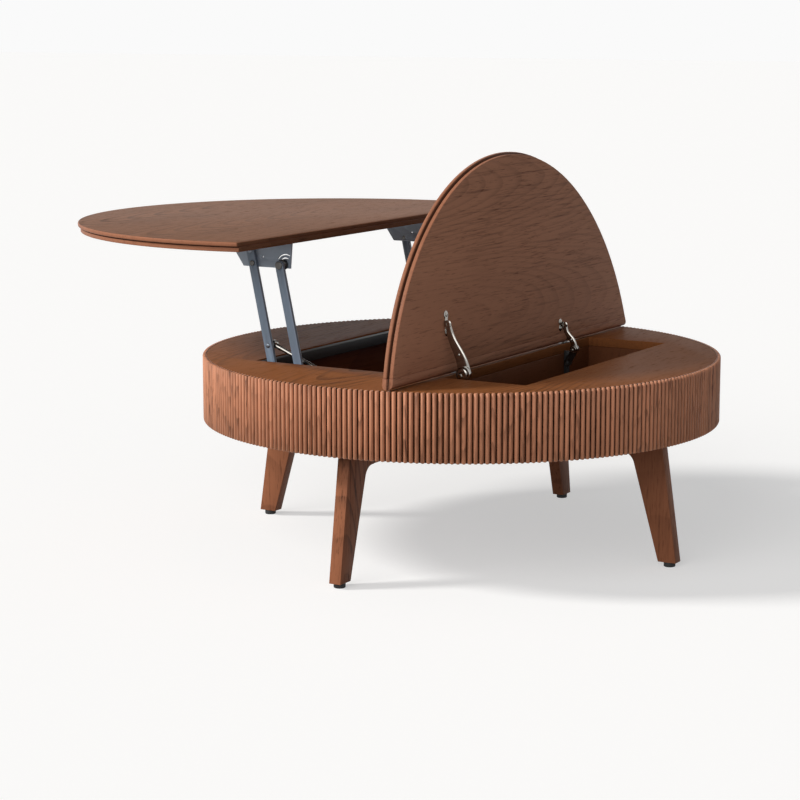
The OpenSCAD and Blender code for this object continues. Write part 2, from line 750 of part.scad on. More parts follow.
slat_band();
drum_hoop();
deck_board();
bottom_panel();
front_wall();
rear_wall();
left_wall();
right_wall();
divider();
rail_x();
rail_y();
leg_right();
leg_back();
leg_left();
leg_front();
levelling_feet();
top_pads();
lift_top_board();
lift_top_underboard();
flap_board();
flap_underboard();
flap_lipping();
hinge_knuckles();
hinge_pins();
hinge_screws();
front_plate();
rear_plate();
plate_screws();
stop_bar();
front_lower_studs();
rear_lower_studs();
front_outer_arm();
rear_outer_arm();
front_inner_arm();
rear_inner_arm();
front_arm_bolt();
rear_arm_bolt();
front_bracket();
rear_bracket();
front_upper_studs();
rear_upper_studs();
bracket_screws();
front_gas_tube();
rear_gas_tube();
front_gas_rod();
rear_gas_rod();
large_stay_base();
large_stay_lower_arm();
large_stay_upper_arm();
large_stay_bracket();
small_stay_base();
small_stay_lower_arm();
small_stay_upper_arm();
small_stay_bracket();
stay_screws();
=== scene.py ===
# %% [markdown]
# # A round lift top coffee table
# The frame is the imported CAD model: a slatted drum on four splayed legs, a large top that
# rises level on parallel arms, and a flap that opens over a second compartment. Every
# object below is in metres, in that frame, so nothing is placed by eye.

# %% Load the frame
import json
import math

import bmesh
import bpy
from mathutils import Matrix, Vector


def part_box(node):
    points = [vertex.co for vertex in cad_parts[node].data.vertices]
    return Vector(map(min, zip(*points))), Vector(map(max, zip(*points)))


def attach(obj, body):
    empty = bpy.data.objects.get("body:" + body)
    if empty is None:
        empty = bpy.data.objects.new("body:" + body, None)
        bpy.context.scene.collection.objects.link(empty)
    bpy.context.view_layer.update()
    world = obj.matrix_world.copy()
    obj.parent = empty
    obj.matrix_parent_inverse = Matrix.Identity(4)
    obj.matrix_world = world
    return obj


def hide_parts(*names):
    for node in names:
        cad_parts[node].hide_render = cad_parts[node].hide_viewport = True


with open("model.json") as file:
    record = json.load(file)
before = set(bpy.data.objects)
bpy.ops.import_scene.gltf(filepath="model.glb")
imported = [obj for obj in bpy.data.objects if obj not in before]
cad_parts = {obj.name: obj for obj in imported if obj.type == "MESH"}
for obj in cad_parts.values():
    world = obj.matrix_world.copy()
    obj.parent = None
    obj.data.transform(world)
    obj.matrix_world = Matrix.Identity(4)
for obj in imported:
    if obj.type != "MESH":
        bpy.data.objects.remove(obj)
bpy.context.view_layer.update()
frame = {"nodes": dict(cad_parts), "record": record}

MERGE = 0.00001  # points of a CAD mesh closer than this are one
BODY_OF = {node: body for body, nodes in frame["record"]["behaviour"]["bodies"].items()
           for node in nodes}
SLOT_OF = {row["node"]: row["material_slot"] for row in frame["record"]["subparts"]}
JOINTS = {j["name"]: j for j in frame["record"]["behaviour"]["joints"]}

# %% [markdown]
# ## Sizes that the frame gives
# The drum's slats fill a ring, the deck is the board inside them, and the tops lie over
# both. Reading these sizes from the frame keeps the slats and the grain on the real piece.

# %% Sizes
band_low, band_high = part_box("slat_band")
deck_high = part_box("deck_board")[1]
DRUM_R = band_high[0]
BAND_R = deck_high[0]
BAND_BOTTOM = band_low[2]
DECK_TOP = deck_high[2]
print(f"drum radius {DRUM_R:.3f}, slat depth {DRUM_R - BAND_R:.4f}, deck at {DECK_TOP:.3f}")

# %% [markdown]
# ## The camera
# A product view from a little above the lifted top, turned to the side of the flap. The
# lens is long, so the round drum stays a calm ellipse.

# %% Camera
def add_camera(place, yaw, down, lens):
    data = bpy.data.cameras.new("view_camera")
    data.lens = lens
    data.sensor_width = 36
    camera = bpy.data.objects.new("view_camera", data)
    camera.location = place
    camera.rotation_euler = (math.radians(90 - down), 0, math.radians(yaw))
    bpy.context.collection.objects.link(camera)
    bpy.context.scene.camera = camera
    return camera


camera = add_camera(place=(2.123, -3.839, 1.027), yaw=30.49, down=9.71, lens=102.7)
print("camera at", tuple(round(c, 3) for c in camera.location), "lens", camera.data.lens)

# %% [markdown]
# ## Floor, world and lamps
# The table stands in an empty white studio. The floor and the world answer two questions at
# once: what the eye and a reflection see, which is near white, and what light they throw on
# the table, which is plain. Light Path tells the two apart. The seen floor is part glow and
# part lit paint, so the shadow still shows in it. A low sun from the left is the key, a wide
# one in front lights the slats, and a weak one reaches the underside of the open flap. A sun
# is equally strong everywhere, so floor and background meet without a line.

# %% Node helper
def node(tree, kind, inputs=None, **settings):
    """Adds a node, sets its settings, and links or sets each input."""
    made = tree.nodes.new(kind)
    for key, value in settings.items():
        setattr(made, key, value)
    for key, value in (inputs or {}).items():
        if isinstance(value, bpy.types.NodeSocket):
            tree.links.new(value, made.inputs[key])
        else:
            made.inputs[key].default_value = value
    return made


def math_node(tree, operation, first, second=0.0, clamp=False):
    return node(tree, "ShaderNodeMath", {0: first, 1: second}, operation=operation,
                use_clamp=clamp).outputs[0]


# %% World and floor
def seen_directly(tree):
    """1 for camera, glossy and transmission rays, 0 for the rest."""
    path = tree.nodes.new("ShaderNodeLightPath")
    eye_or_gloss = math_node(tree, "MAXIMUM", path.outputs["Is Camera Ray"],
                             path.outputs["Is Glossy Ray"])
    return math_node(tree, "MAXIMUM", eye_or_gloss, path.outputs["Is Transmission Ray"])


def build_world(light, seen):
    world = bpy.data.worlds.new("studio")
    bpy.context.scene.world = world
    world.use_nodes = True
    tree = world.node_tree
    tree.nodes.clear()
    strength = node(tree, "ShaderNodeMapRange",
                    {"Value": seen_directly(tree), "To Min": light, "To Max": seen})
    sky = node(tree, "ShaderNodeBackground",
               {"Color": (1, 1, 1, 1), "Strength": strength.outputs[0]})
    node(tree, "ShaderNodeOutputWorld", {"Surface": sky.outputs[0]})


def build_floor(half_width, glow, paint, bounce):
    mesh = bpy.data.meshes.new("studio_floor")
    w = half_width
    mesh.from_pydata([(-w, -w, 0), (w, -w, 0), (w, w, 0), (-w, w, 0)], [], [(0, 1, 2, 3)])
    floor = bpy.data.objects.new("studio_floor", mesh)
    bpy.context.collection.objects.link(floor)
    material = bpy.data.materials.new("studio_floor")
    material.use_nodes = True
    tree = material.node_tree
    tree.nodes.clear()
    glowing = node(tree, "ShaderNodeEmission", {"Color": (1, 1, 1, 1), "Strength": glow})
    lit = node(tree, "ShaderNodeBsdfDiffuse", {"Color": (paint, paint, paint, 1)})
    seen = node(tree, "ShaderNodeAddShader", {0: glowing.outputs[0], 1: lit.outputs[0]})
    thrown = node(tree, "ShaderNodeBsdfDiffuse", {"Color": (bounce, bounce, bounce, 1)})
    both = node(tree, "ShaderNodeMixShader",
                {0: seen_directly(tree), 1: thrown.outputs[0], 2: seen.outputs[0]})
    node(tree, "ShaderNodeOutputMaterial", {"Surface": both.outputs[0]})
    mesh.materials.append(material)


build_world(light=0.10, seen=0.956)
build_floor(half_width=40, glow=0.495, paint=0.575, bounce=0.36)
print("world and floor built")

# %% Lamps
def add_sun(name, azimuth, elevation, strength, softness, colour):
    """A sun that shines from a compass direction, counted in degrees from +X towards +Y."""
    data = bpy.data.lights.new(name, "SUN")
    data.energy = strength
    data.angle = math.radians(softness)
    data.color = colour
    lamp = bpy.data.objects.new(name, data)
    a, e = math.radians(azimuth), math.radians(elevation)
    towards = Vector((math.cos(a) * math.cos(e), math.sin(a) * math.cos(e), math.sin(e)))
    lamp.rotation_euler = towards.to_track_quat("Z", "Y").to_euler()
    bpy.context.collection.objects.link(lamp)


add_sun("key", azimuth=-147, elevation=36, strength=2.5, softness=12,
        colour=(1.0, 0.98, 0.95))
add_sun("front", azimuth=-97, elevation=28, strength=1.45, softness=50,
        colour=(1.0, 0.99, 0.97))
add_sun("fill", azimuth=-45, elevation=20, strength=0.18, softness=50,
        colour=(0.97, 0.98, 1.0))
bpy.context.scene.view_settings.view_transform = "Standard"
print("lamps", len(bpy.data.lights))

# %% [markdown]
# ## Wood: the grain group
# Stained, open-grained wood has long pores, growth rings that a flat cut turns into long
# arches, and slow changes of tone. A flat sheet of figure could be wrapped round each board,
# but it would stretch on a leg. One node group makes all three from a position instead, so
# each board only says which way its grain runs. X is along the grain, Y across it, and Z
# through the board.

# %% Group helpers
def socket(tree, name, kind, side, value=None):
    item = tree.interface.new_socket(name=name, in_out=side, socket_type=kind)
    if value is not None:
        item.default_value = value


def mix_colour(tree, factor, first, second):
    """Second over first by a factor; each may be a socket or a plain value."""
    made = node(tree, "ShaderNodeMix", data_type="RGBA")
    for index, value in ((0, factor), (6, first), (7, second)):
        if isinstance(value, bpy.types.NodeSocket):
            tree.links.new(value, made.inputs[index])
        else:
            made.inputs[index].default_value = value if index == 0 else (*value[:3], 1)
    return made.outputs[2]


def stretched_noise(tree, position, seed, scale, detail=2.0, rough=0.5, distortion=0.0):
    """Noise that runs along X: scale gives its density along each axis."""
    scaled = node(tree, "ShaderNodeMapping", {"Vector": position, "Scale": scale})
    return node(tree, "ShaderNodeTexNoise",
                {"Vector": scaled.outputs[0], "W": seed, "Scale": 1.0, "Detail": detail,
                 "Roughness": rough, "Distortion": distortion},
                noise_dimensions="4D").outputs["Fac"]


def smooth_step(tree, value, low, high):
    return node(tree, "ShaderNodeMapRange",
                {"Value": value, "From Min": low, "From Max": high},
                interpolation_type="SMOOTHSTEP").outputs[0]


# %% Grain group
def build_grain_group():
    tree = bpy.data.node_groups.new("wood_grain", "ShaderNodeTree")
    for name, kind, value in (
            ("Position", "NodeSocketVector", None),
            ("Pale", "NodeSocketColor", (0.35, 0.20, 0.12, 1)),
            ("Dark", "NodeSocketColor", (0.12, 0.06, 0.035, 1)),
            ("Ring spacing", "NodeSocketFloat", 0.02),
            ("Ring wander", "NodeSocketFloat", 0.035),
            ("Ring strength", "NodeSocketFloat", 0.5),
            ("Streak strength", "NodeSocketFloat", 0.5),
            ("Pore strength", "NodeSocketFloat", 0.6),
            ("Tone change", "NodeSocketFloat", 0.35),
            ("Seed", "NodeSocketFloat", 0.0)):
        socket(tree, name, kind, "INPUT", value)
    for name, kind in (("Colour", "NodeSocketColor"), ("Height", "NodeSocketFloat"),
                       ("Roughness", "NodeSocketFloat")):
        socket(tree, name, kind, "OUTPUT")
    inside = tree.nodes.new("NodeGroupInput").outputs
    place, seed = inside["Position"], inside["Seed"]
    # growth rings: a leaf of veneer cuts the trunk at a slant, so its rings make long arches
    wander = stretched_noise(tree, place, seed, (1.3, 4.0, 4.0), 2.0, 0.5)
    parts = node(tree, "ShaderNodeSeparateXYZ", {"Vector": place})
    shifted = math_node(tree, "ADD", parts.outputs["Y"],
                        math_node(tree, "MULTIPLY", seed, 0.037))
    leaf = math_node(tree, "PINGPONG", shifted, 0.125)
    slant = math_node(tree, "MULTIPLY", math_node(tree, "ADD", parts.outputs["X"], 0.62), 0.11)
    trunk = node(tree, "ShaderNodeCombineXYZ", {"X": leaf, "Y": slant})
    from_heart = node(tree, "ShaderNodeVectorMath", {0: trunk.outputs[0]},
                      operation="LENGTH").outputs["Value"]
    pushed = math_node(tree, "MULTIPLY", math_node(tree, "SUBTRACT", wander, 0.5),
                       inside["Ring wander"])
    across = math_node(tree, "ADD", from_heart, pushed)
    wave = math_node(tree, "FRACT", math_node(tree, "DIVIDE", across, inside["Ring spacing"]))
    # each ring darkens slowly into late wood and ends sharply
    late = math_node(tree, "MULTIPLY", smooth_step(tree, wave, 0.50, 0.94),
                     smooth_step(tree, wave, 1.0, 0.94))
    # the figure shows in patches, and is calm between them
    patch = smooth_step(tree, stretched_noise(tree, place, seed, (1.2, 6.0, 6.0), 1.0), 0.38,
                        0.68)
    rings = math_node(tree, "MULTIPLY", late, patch)
    # long dark streaks, and pores as fine dashes
    streak_noise = stretched_noise(tree, place, seed, (7.0, 230.0, 230.0), 4.0, 0.65, 0.3)
    streak = smooth_step(tree, streak_noise, 0.50, 0.70)
    streaks = math_node(tree, "MULTIPLY", streak,
                        math_node(tree, "ADD", math_node(tree, "MULTIPLY", patch, 0.75),
                                  0.25))
    pores = smooth_step(tree, stretched_noise(tree, place, seed, (32.0, 430.0, 430.0), 2.0,
                                              0.6), 0.55, 0.70)
    tone = stretched_noise(tree, place, seed, (3.0, 9.0, 9.0), 5.0, 0.65)
    shade = math_node(tree, "MULTIPLY", rings, inside["Ring strength"])
    for value, strength in ((streaks, inside["Streak strength"]),
                            (pores, inside["Pore strength"]),
                            (math_node(tree, "SUBTRACT", tone, 0.42),
                             inside["Tone change"])):
        shade = math_node(tree, "ADD", shade, math_node(tree, "MULTIPLY", value, strength))
    shade = math_node(tree, "MAXIMUM", math_node(tree, "MINIMUM", shade, 1.0), 0.0)
    sunk = math_node(tree, "ADD", math_node(tree, "MULTIPLY", pores, 0.7),
                     math_node(tree, "MULTIPLY", streaks, 0.25))
    node(tree, "NodeGroupOutput", {
        "Colour": mix_colour(tree, shade, inside["Pale"], inside["Dark"]),
        "Height": math_node(tree, "SUBTRACT", 1.0, sunk),
        "Roughness": math_node(tree, "ADD", 0.44, math_node(tree, "MULTIPLY", pores, 0.2))})
    return tree


GRAIN = build_grain_group()
print("grain group nodes", len(GRAIN.nodes))

# %% [markdown]
# ## Edge wear and dust
# Stain thins on an edge, and paint and plating pick up a little dust in hollows. Both come
# from simple masks: wear from how far the bevelled normal leans from the true one, dust
# from a broad noise on faces that look up.

# %% Wear and dust groups
def build_wear_group():
    tree = bpy.data.node_groups.new("edge_wear", "ShaderNodeTree")
    socket(tree, "Radius", "NodeSocketFloat", "INPUT", 0.0015)
    socket(tree, "Amount", "NodeSocketFloat", "INPUT", 0.6)
    socket(tree, "Mask", "NodeSocketFloat", "OUTPUT")
    inside = tree.nodes.new("NodeGroupInput").outputs
    rounded = node(tree, "ShaderNodeBevel", {"Radius": inside["Radius"]}, samples=4)
    geometry = node(tree, "ShaderNodeNewGeometry")
    agree = node(tree, "ShaderNodeVectorMath",
                 {0: rounded.outputs[0], 1: geometry.outputs["Normal"]},
                 operation="DOT_PRODUCT").outputs["Value"]
    edge = node(tree, "ShaderNodeMapRange",
                {"Value": agree, "From Min": 0.995, "From Max": 0.90}).outputs[0]
    place = node(tree, "ShaderNodeTexCoord")
    noise = node(tree, "ShaderNodeTexNoise",
                 {"Vector": place.outputs["Object"], "Scale": 60.0, "Detail": 3.0})
    broken = node(tree, "ShaderNodeMapRange",
                  {"Value": noise.outputs["Fac"], "From Min": 0.35, "From Max": 0.65})
    mask = math_node(tree, "MULTIPLY", math_node(tree, "MULTIPLY", edge, inside["Amount"]),
                     broken.outputs[0], clamp=True)
    node(tree, "NodeGroupOutput", {"Mask": mask})
    return tree


def build_dust_group():
    tree = bpy.data.node_groups.new("light_dust", "ShaderNodeTree")
    socket(tree, "Amount", "NodeSocketFloat", "INPUT", 0.1)
    socket(tree, "Mask", "NodeSocketFloat", "OUTPUT")
    inside = tree.nodes.new("NodeGroupInput").outputs
    place = node(tree, "ShaderNodeTexCoord")
    noise = node(tree, "ShaderNodeTexNoise",
                 {"Vector": place.outputs["Object"], "Scale": 9.0, "Detail": 5.0,
                  "Roughness": 0.65})
    patch = node(tree, "ShaderNodeMapRange",
                 {"Value": noise.outputs["Fac"], "From Min": 0.4, "From Max": 0.75})
    geometry = node(tree, "ShaderNodeNewGeometry")
    normal = node(tree, "ShaderNodeSeparateXYZ", {"Vector": geometry.outputs["Normal"]})
    facing = math_node(tree, "MAXIMUM", normal.outputs["Z"], 0.0)
    mask = math_node(tree, "MULTIPLY",
                     math_node(tree, "MULTIPLY", patch.outputs[0], facing),
                     inside["Amount"], clamp=True)
    node(tree, "NodeGroupOutput", {"Mask": mask})
    return tree


WEAR = build_wear_group()
DUST = build_dust_group()
print("wear and dust nodes", len(WEAR.nodes) + len(DUST.nodes))

# %% [markdown]
# ## Materials
# Each wood is the same group with its own colours, ring spacing and direction. A Mapping
# node turns the position so that X runs along the board: the tops and the deck have their
# grain along Y, and slats and legs along Z. The flap stands up at rest, so its mapping reads
# height as the way across the grain. Its seen underside is painted far paler than the same
# wood on the tops, as painted light on a face that the lamps hardly reach, and its top
# matches the lifted one when both are closed. The ledge and groove woods are painted shade.

# %% Wood materials
def grouped(tree, group, values):
    return node(tree, "ShaderNodeGroup", values, node_tree=group).outputs


def wood(name, pale, dark, turn, rings=0.02, wander=0.035, ring_strength=0.35,
         streaks=0.4, pores=0.25, tone=0.5, seed=0.0, bump=0.15, shine=0.06,
         edge_amount=0.5, per_piece=0.0):
    """Stained wood. turn lays the grain's X axis along the board.

    per_piece gives each loose slat of a mesh its own grain and a darker or paler tone.
    """
    material = bpy.data.materials.new(name)
    material.use_nodes = True
    tree = material.node_tree
    shader = tree.nodes["Principled BSDF"]
    place = node(tree, "ShaderNodeTexCoord")
    turned = node(tree, "ShaderNodeMapping",
                  {"Vector": place.outputs["Object"], "Rotation": turn})
    own_seed = seed
    if per_piece:
        island = node(tree, "ShaderNodeNewGeometry").outputs["Random Per Island"]
        own_seed = math_node(tree, "ADD", math_node(tree, "MULTIPLY", island, 40.0), seed)
    grain = grouped(tree, GRAIN, {
        "Position": turned.outputs[0], "Pale": (*pale, 1), "Dark": (*dark, 1),
        "Ring spacing": rings, "Ring wander": wander, "Ring strength": ring_strength,
        "Streak strength": streaks, "Pore strength": pores, "Tone change": tone,
        "Seed": own_seed})
    colour = grain["Colour"]
    if per_piece:
        colour = mix_colour(tree, math_node(tree, "MULTIPLY", island, per_piece), colour,
                            tuple(c * 0.45 for c in pale))
    wear = grouped(tree, WEAR, {"Radius": 0.0014, "Amount": edge_amount})
    rubbed = tuple(min(1, c * 1.35 + 0.02) for c in pale)
    colour = mix_colour(tree, wear["Mask"], colour, rubbed)
    relief = node(tree, "ShaderNodeBump", {"Height": grain["Height"], "Strength": bump,
                                           "Distance": 0.0004})
    tree.links.new(colour, shader.inputs["Base Color"])
    tree.links.new(grain["Roughness"], shader.inputs["Roughness"])
    tree.links.new(relief.outputs[0], shader.inputs["Normal"])
    shader.inputs["Specular IOR Level"].default_value = shine
    return material


QUARTER = math.pi / 2
ALONG_Y = (0, 0, QUARTER)
UPRIGHT = (0, QUARTER, 0)
RAISED = (0, -QUARTER, -QUARTER)
WOODS = {
    "deck": wood("deck_veneer", (0.255, 0.092, 0.032), (0.060, 0.026, 0.014), ALONG_Y,
                 rings=0.009, ring_strength=0.6, streaks=0.55, pores=0.35, seed=1.3,
                 shine=0.01),
    "lift_top": wood("lift_top_veneer", (0.225, 0.108, 0.062), (0.050, 0.026, 0.017),
                     ALONG_Y, rings=0.009, ring_strength=0.45, streaks=0.7, pores=0.45,
                     tone=0.35, seed=4.1, shine=0.01),
    # painted light: far paler than the same wood on the tops, standing in for light on the
    # flap's underside, which the lamps hardly reach
    "flap": wood("flap_veneer_painted_light", (0.560, 0.270, 0.168), (0.140, 0.066, 0.043), RAISED,
                 rings=0.009, wander=0.06, ring_strength=0.22, streaks=0.5, pores=0.4,
                 tone=0.5, seed=7.7, shine=0.02),
    "flap_top": wood("flap_top_veneer", (0.225, 0.108, 0.062), (0.050, 0.026, 0.017),
                     RAISED, rings=0.009, ring_strength=0.45, streaks=0.7, pores=0.45,
                     tone=0.35, seed=6.6, shine=0.01),
    "rim": wood("rim_wood", (0.360, 0.150, 0.084), (0.130, 0.052, 0.030), ALONG_Y,
                rings=0.012, streaks=0.6, seed=3.3),
    # painted shade: the dark brown of the step under an upper board and of the lifted top's neck
    "ledge_shade": wood("ledge_painted_shade", (0.170, 0.072, 0.042), (0.070, 0.030, 0.018), ALONG_Y,
                  seed=8.0, edge_amount=0.0),
    # painted shade: near black in the flap's neck and at the backs of the slat gaps
    "groove_shade": wood("groove_painted_shade", (0.045, 0.022, 0.015), (0.020, 0.010, 0.007), ALONG_Y,
                   seed=6.0, edge_amount=0.0),
    "slats": wood("slat_wood", (0.660, 0.285, 0.160), (0.095, 0.036, 0.019), UPRIGHT,
                  rings=0.006, wander=0.02, ring_strength=0.5, streaks=0.85, pores=0.55,
                  seed=2.9, shine=0.18, per_piece=0.45),
    "legs": wood("leg_wood", (0.330, 0.125, 0.062), (0.075, 0.028, 0.015), UPRIGHT,
                 rings=0.008, wander=0.03, ring_strength=0.6, streaks=0.7, pores=0.45,
                 seed=5.2, shine=0.10),
    "inside": wood("inside_board", (0.150, 0.052, 0.022), (0.050, 0.020, 0.010), ALONG_Y,
                   rings=0.012, wander=0.04, seed=9.4),
}
print("woods", ", ".join(WOODS))

# %% [markdown]
# ## Metal and rubber
# The arms carry a blue-grey paint with a soft sheen. Their brackets carry the same paint made
# lighter, which is painted light. The stays' levers, caps and plates are bright plated steel.
# Their lower arms, the studs and the hinges are darker, and the stop bar and gas tubes black.
# Each gets a fine bump, a little change of roughness, and dust.

# %% Metal materials
def metal(name, colour, metallic, rough, grain_scale, bump, dust=0.12, edge=None,
          edge_amount=0.4, spread=0.08):
    material = bpy.data.materials.new(name)
    material.use_nodes = True
    tree = material.node_tree
    shader = tree.nodes["Principled BSDF"]
    place = node(tree, "ShaderNodeTexCoord")
    noise = node(tree, "ShaderNodeTexNoise",
                 {"Vector": place.outputs["Object"], "Scale": grain_scale, "Detail": 4.0})
    tone = node(tree, "ShaderNodeTexNoise",
                {"Vector": place.outputs["Object"], "Scale": 25.0, "Detail": 3.0})
    veil = grouped(tree, DUST, {"Amount": dust})
    wear = grouped(tree, WEAR, {"Radius": 0.0008, "Amount": edge_amount})
    toned = mix_colour(tree, math_node(tree, "MULTIPLY", tone.outputs["Fac"], 0.35),
                       colour, tuple(c * 0.72 for c in colour))
    rubbed = mix_colour(tree, wear["Mask"], toned, edge or tuple(
        min(1.0, c * 1.4 + 0.06) for c in colour))
    dusty = mix_colour(tree, veil["Mask"], rubbed, (0.5, 0.47, 0.43))
    roughness = math_node(tree, "ADD", rough - spread / 2,
                          math_node(tree, "MULTIPLY", noise.outputs["Fac"], spread))
    relief = node(tree, "ShaderNodeBump", {"Height": noise.outputs["Fac"],
                                           "Strength": bump, "Distance": 0.0002})
    tree.links.new(dusty, shader.inputs["Base Color"])
    tree.links.new(roughness, shader.inputs["Roughness"])
    tree.links.new(relief.outputs[0], shader.inputs["Normal"])
    shader.inputs["Metallic"].default_value = metallic
    return material


METALS = {
    "arm_paint": metal("arm_paint", (0.205, 0.275, 0.370), 0.0, 0.36, 900, 0.10, dust=0.05,
                       edge=(0.30, 0.35, 0.41)),
    "black_paint": metal("black_paint", (0.009, 0.009, 0.010), 0.0, 0.55, 700, 0.08,
                         dust=0.03),
    "bright_steel": metal("bright_steel", (0.34, 0.325, 0.30), 1.0, 0.12, 400, 0.03,
                          dust=0.05),
    "brushed_plate": metal("brushed_plate", (0.62, 0.62, 0.63), 1.0, 0.30, 500, 0.06,
                           dust=0.06),
    "black_rubber": metal("black_rubber", (0.015, 0.015, 0.015), 0.0, 0.75, 600, 0.2),
    "rivet_steel": metal("rivet_steel", (0.17, 0.20, 0.24), 0.6, 0.34, 600, 0.05),
    "dark_steel": metal("dark_steel", (0.10, 0.095, 0.09), 1.0, 0.32, 500, 0.06),
    # painted light: the arm paint made lighter for the brackets
    "bracket_paint": metal("bracket_paint", (0.440, 0.540, 0.660), 0.0, 0.40, 900, 0.10,
                           dust=0.05, edge=(0.56, 0.64, 0.74)),
}
print("metals", ", ".join(METALS))

# %% [markdown]
# ## Pieces from the frame
# A CAD board has knife edges. Real ones are sanded, so each board is copied, its loose
# triangles are merged back into whole faces, and a small bevel rounds its edges. The copy
# stands in for the CAD node where it is seen, and the node itself stays, hidden.

# %% Softened copies
def merged_copy(node_name):
    """A clean mesh of a CAD node: points merged, flat faces whole."""
    mesh = frame["nodes"][node_name].data.copy()
    mesh.materials.clear()
    work = bmesh.new()
    work.from_mesh(mesh)
    bmesh.ops.remove_doubles(work, verts=work.verts, dist=MERGE)
    bmesh.ops.dissolve_limit(work, angle_limit=math.radians(0.6), verts=work.verts,
                             edges=work.edges, delimit=set())
    work.to_mesh(mesh)
    work.free()
    return mesh


def finish_piece(piece, body, material, replaced=()):
    """Gives a piece its finish, its body and the CAD nodes that it stands for."""
    piece.data.materials.clear()
    piece.data.materials.append(material)
    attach(piece, body)
    if replaced:
        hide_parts(*replaced)


def apply_modifiers(piece):
    """The evaluated mesh becomes the piece's own, and its modifiers go."""
    evaluated = piece.evaluated_get(bpy.context.evaluated_depsgraph_get())
    mesh = bpy.data.meshes.new_from_object(evaluated)
    piece.modifiers.clear()
    piece.data = mesh
    return piece


def cleaned(mesh):
    """Drops the slivers that a bevel leaves where edges meet."""
    sliver = 0.000004
    work = bmesh.new()
    work.from_mesh(mesh)
    bmesh.ops.remove_doubles(work, verts=work.verts, dist=sliver)
    bmesh.ops.dissolve_degenerate(work, edges=work.edges, dist=sliver)
    work.to_mesh(mesh)
    work.free()


def softened(node_name, material, bevel, segments=2, angle=32):
    """A copy of a CAD node with rounded edges, which stands in for it."""
    piece = bpy.data.objects.new(node_name + "_soft", merged_copy(node_name))
    bpy.context.collection.objects.link(piece)
    if bevel:
        rounding = piece.modifiers.new("round_edges", "BEVEL")
        rounding.width = bevel
        rounding.segments = segments
        rounding.limit_method = "ANGLE"
        rounding.angle_limit = math.radians(angle)
        apply_modifiers(piece)
    cleaned(piece.data)
    for face in piece.data.polygons:
        face.use_smooth = True
    piece.data.set_sharp_from_angle(angle=math.radians(35))
    finish_piece(piece, BODY_OF[node_name], material, [node_name])
    return piece


def stain_and_shade_faces(piece, material, wanted):
    """Gives the faces that wanted(face) picks a second material."""
    piece.data.materials.append(material)
    index = len(piece.data.materials) - 1
    for face in piece.data.polygons:
        if wanted(face):
            face.material_index = index


SOFT_WOOD = {
    "deck_board": ("deck", 0.0012), "lift_top_board": ("lift_top", 0.0024),
    "lift_top_underboard": ("lift_top", 0.0024), "flap_board": ("flap_top", 0.0024),
    "flap_underboard": ("flap", 0.0024), "flap_lipping": ("flap", 0.0010),
}
for name in ("bottom_panel", "front_wall", "rear_wall", "left_wall", "right_wall",
             "divider", "drum_hoop"):
    SOFT_WOOD[name] = ("inside", 0.001)
for name in ("rail_x", "rail_y"):
    SOFT_WOOD[name] = ("legs", 0.0025)
for name in ("leg_right", "leg_back", "leg_left", "leg_front"):
    SOFT_WOOD[name] = ("legs", 0.004)
boards = {name: softened(name, WOODS[finish], width, segments=3)
          for name, (finish, width) in SOFT_WOOD.items()}
print("softened boards", len(boards))

# %% [markdown]
# ## Two rims with a dark groove
# Each top is two boards, one set back under the other, with a narrow neck between them.
# Their rounded rims are solid wood, paler than the tops' veneer. The ledge under each upper
# board and the neck below it carry painted shade: dark brown, except in the flap's neck,
# which is almost black, and that draws the line round the top. The step itself is real, so
# faces are picked by the way they look: out for a rim, down for the ledge, and by height for
# the neck. Up is level for the lifted top and turned by the opening angle for the flap.

# %% Ways of the two tops
opening = math.radians(JOINTS["flap_hinge"]["range_deg"][1])
UP_OF = {"lift_top": Vector((0, 0, 1)),
         "flap": Vector((-math.sin(opening), 0, math.cos(opening)))}
SEAM_OF = {"lift_top": Vector((1, 0, 0)),
           "flap": Vector((-math.cos(opening), 0, -math.sin(opening)))}
print("flap opens", round(math.degrees(opening), 1), "degrees")

# %% Rims and grooves
NECK_DROP = 0.0022      # the foot of the neck lies this far under the upper board
GROOVE_HEIGHT = 0.0024


def split_at(piece, up, height):
    """Cuts the faces of a piece at a height along up, and leaves both sides."""
    work = bmesh.new()
    work.from_mesh(piece.data)
    bmesh.ops.bisect_plane(work, geom=work.verts[:] + work.edges[:] + work.faces[:],
                           plane_co=up * height, plane_no=up)
    work.to_mesh(piece.data)
    work.free()


def faces_out(face, up, to_seam):
    """A face of the rim: it looks neither up nor down, nor at the seam."""
    return abs(face.normal.dot(up)) < 0.85 and face.normal.dot(to_seam) < 0.8


def stain_rims_and_shade_grooves(top, groove_shade_wood):
    """Stains the rims of a top, paints shade on its ledge and neck, and gives the height of its
    foot.
    """
    up, to_seam = UP_OF[top], SEAM_OF[top]
    upper, lower = boards[top + "_board"], boards[top + "_underboard"]
    for board in (upper, lower):
        stain_and_shade_faces(board, WOODS["rim"], lambda f: faces_out(f, up, to_seam))
    # painted shade on the faces of the upper board that look down
    stain_and_shade_faces(upper, WOODS["ledge_shade"], lambda f: f.normal.dot(up) < -0.85)
    neck = min(v.co.dot(up) for v in upper.data.vertices) - NECK_DROP
    # painted shade on the neck of the lower board
    stain_and_shade_faces(lower, groove_shade_wood, lambda f: f.center.dot(up) > neck)
    print(top, "neck at", round(neck, 4))
    return neck


# the lifted top's neck takes the brown painted shade of the ledge, the flap's the near-black one
stain_rims_and_shade_grooves("lift_top", WOODS["ledge_shade"])
neck = stain_rims_and_shade_grooves("flap", WOODS["groove_shade"])

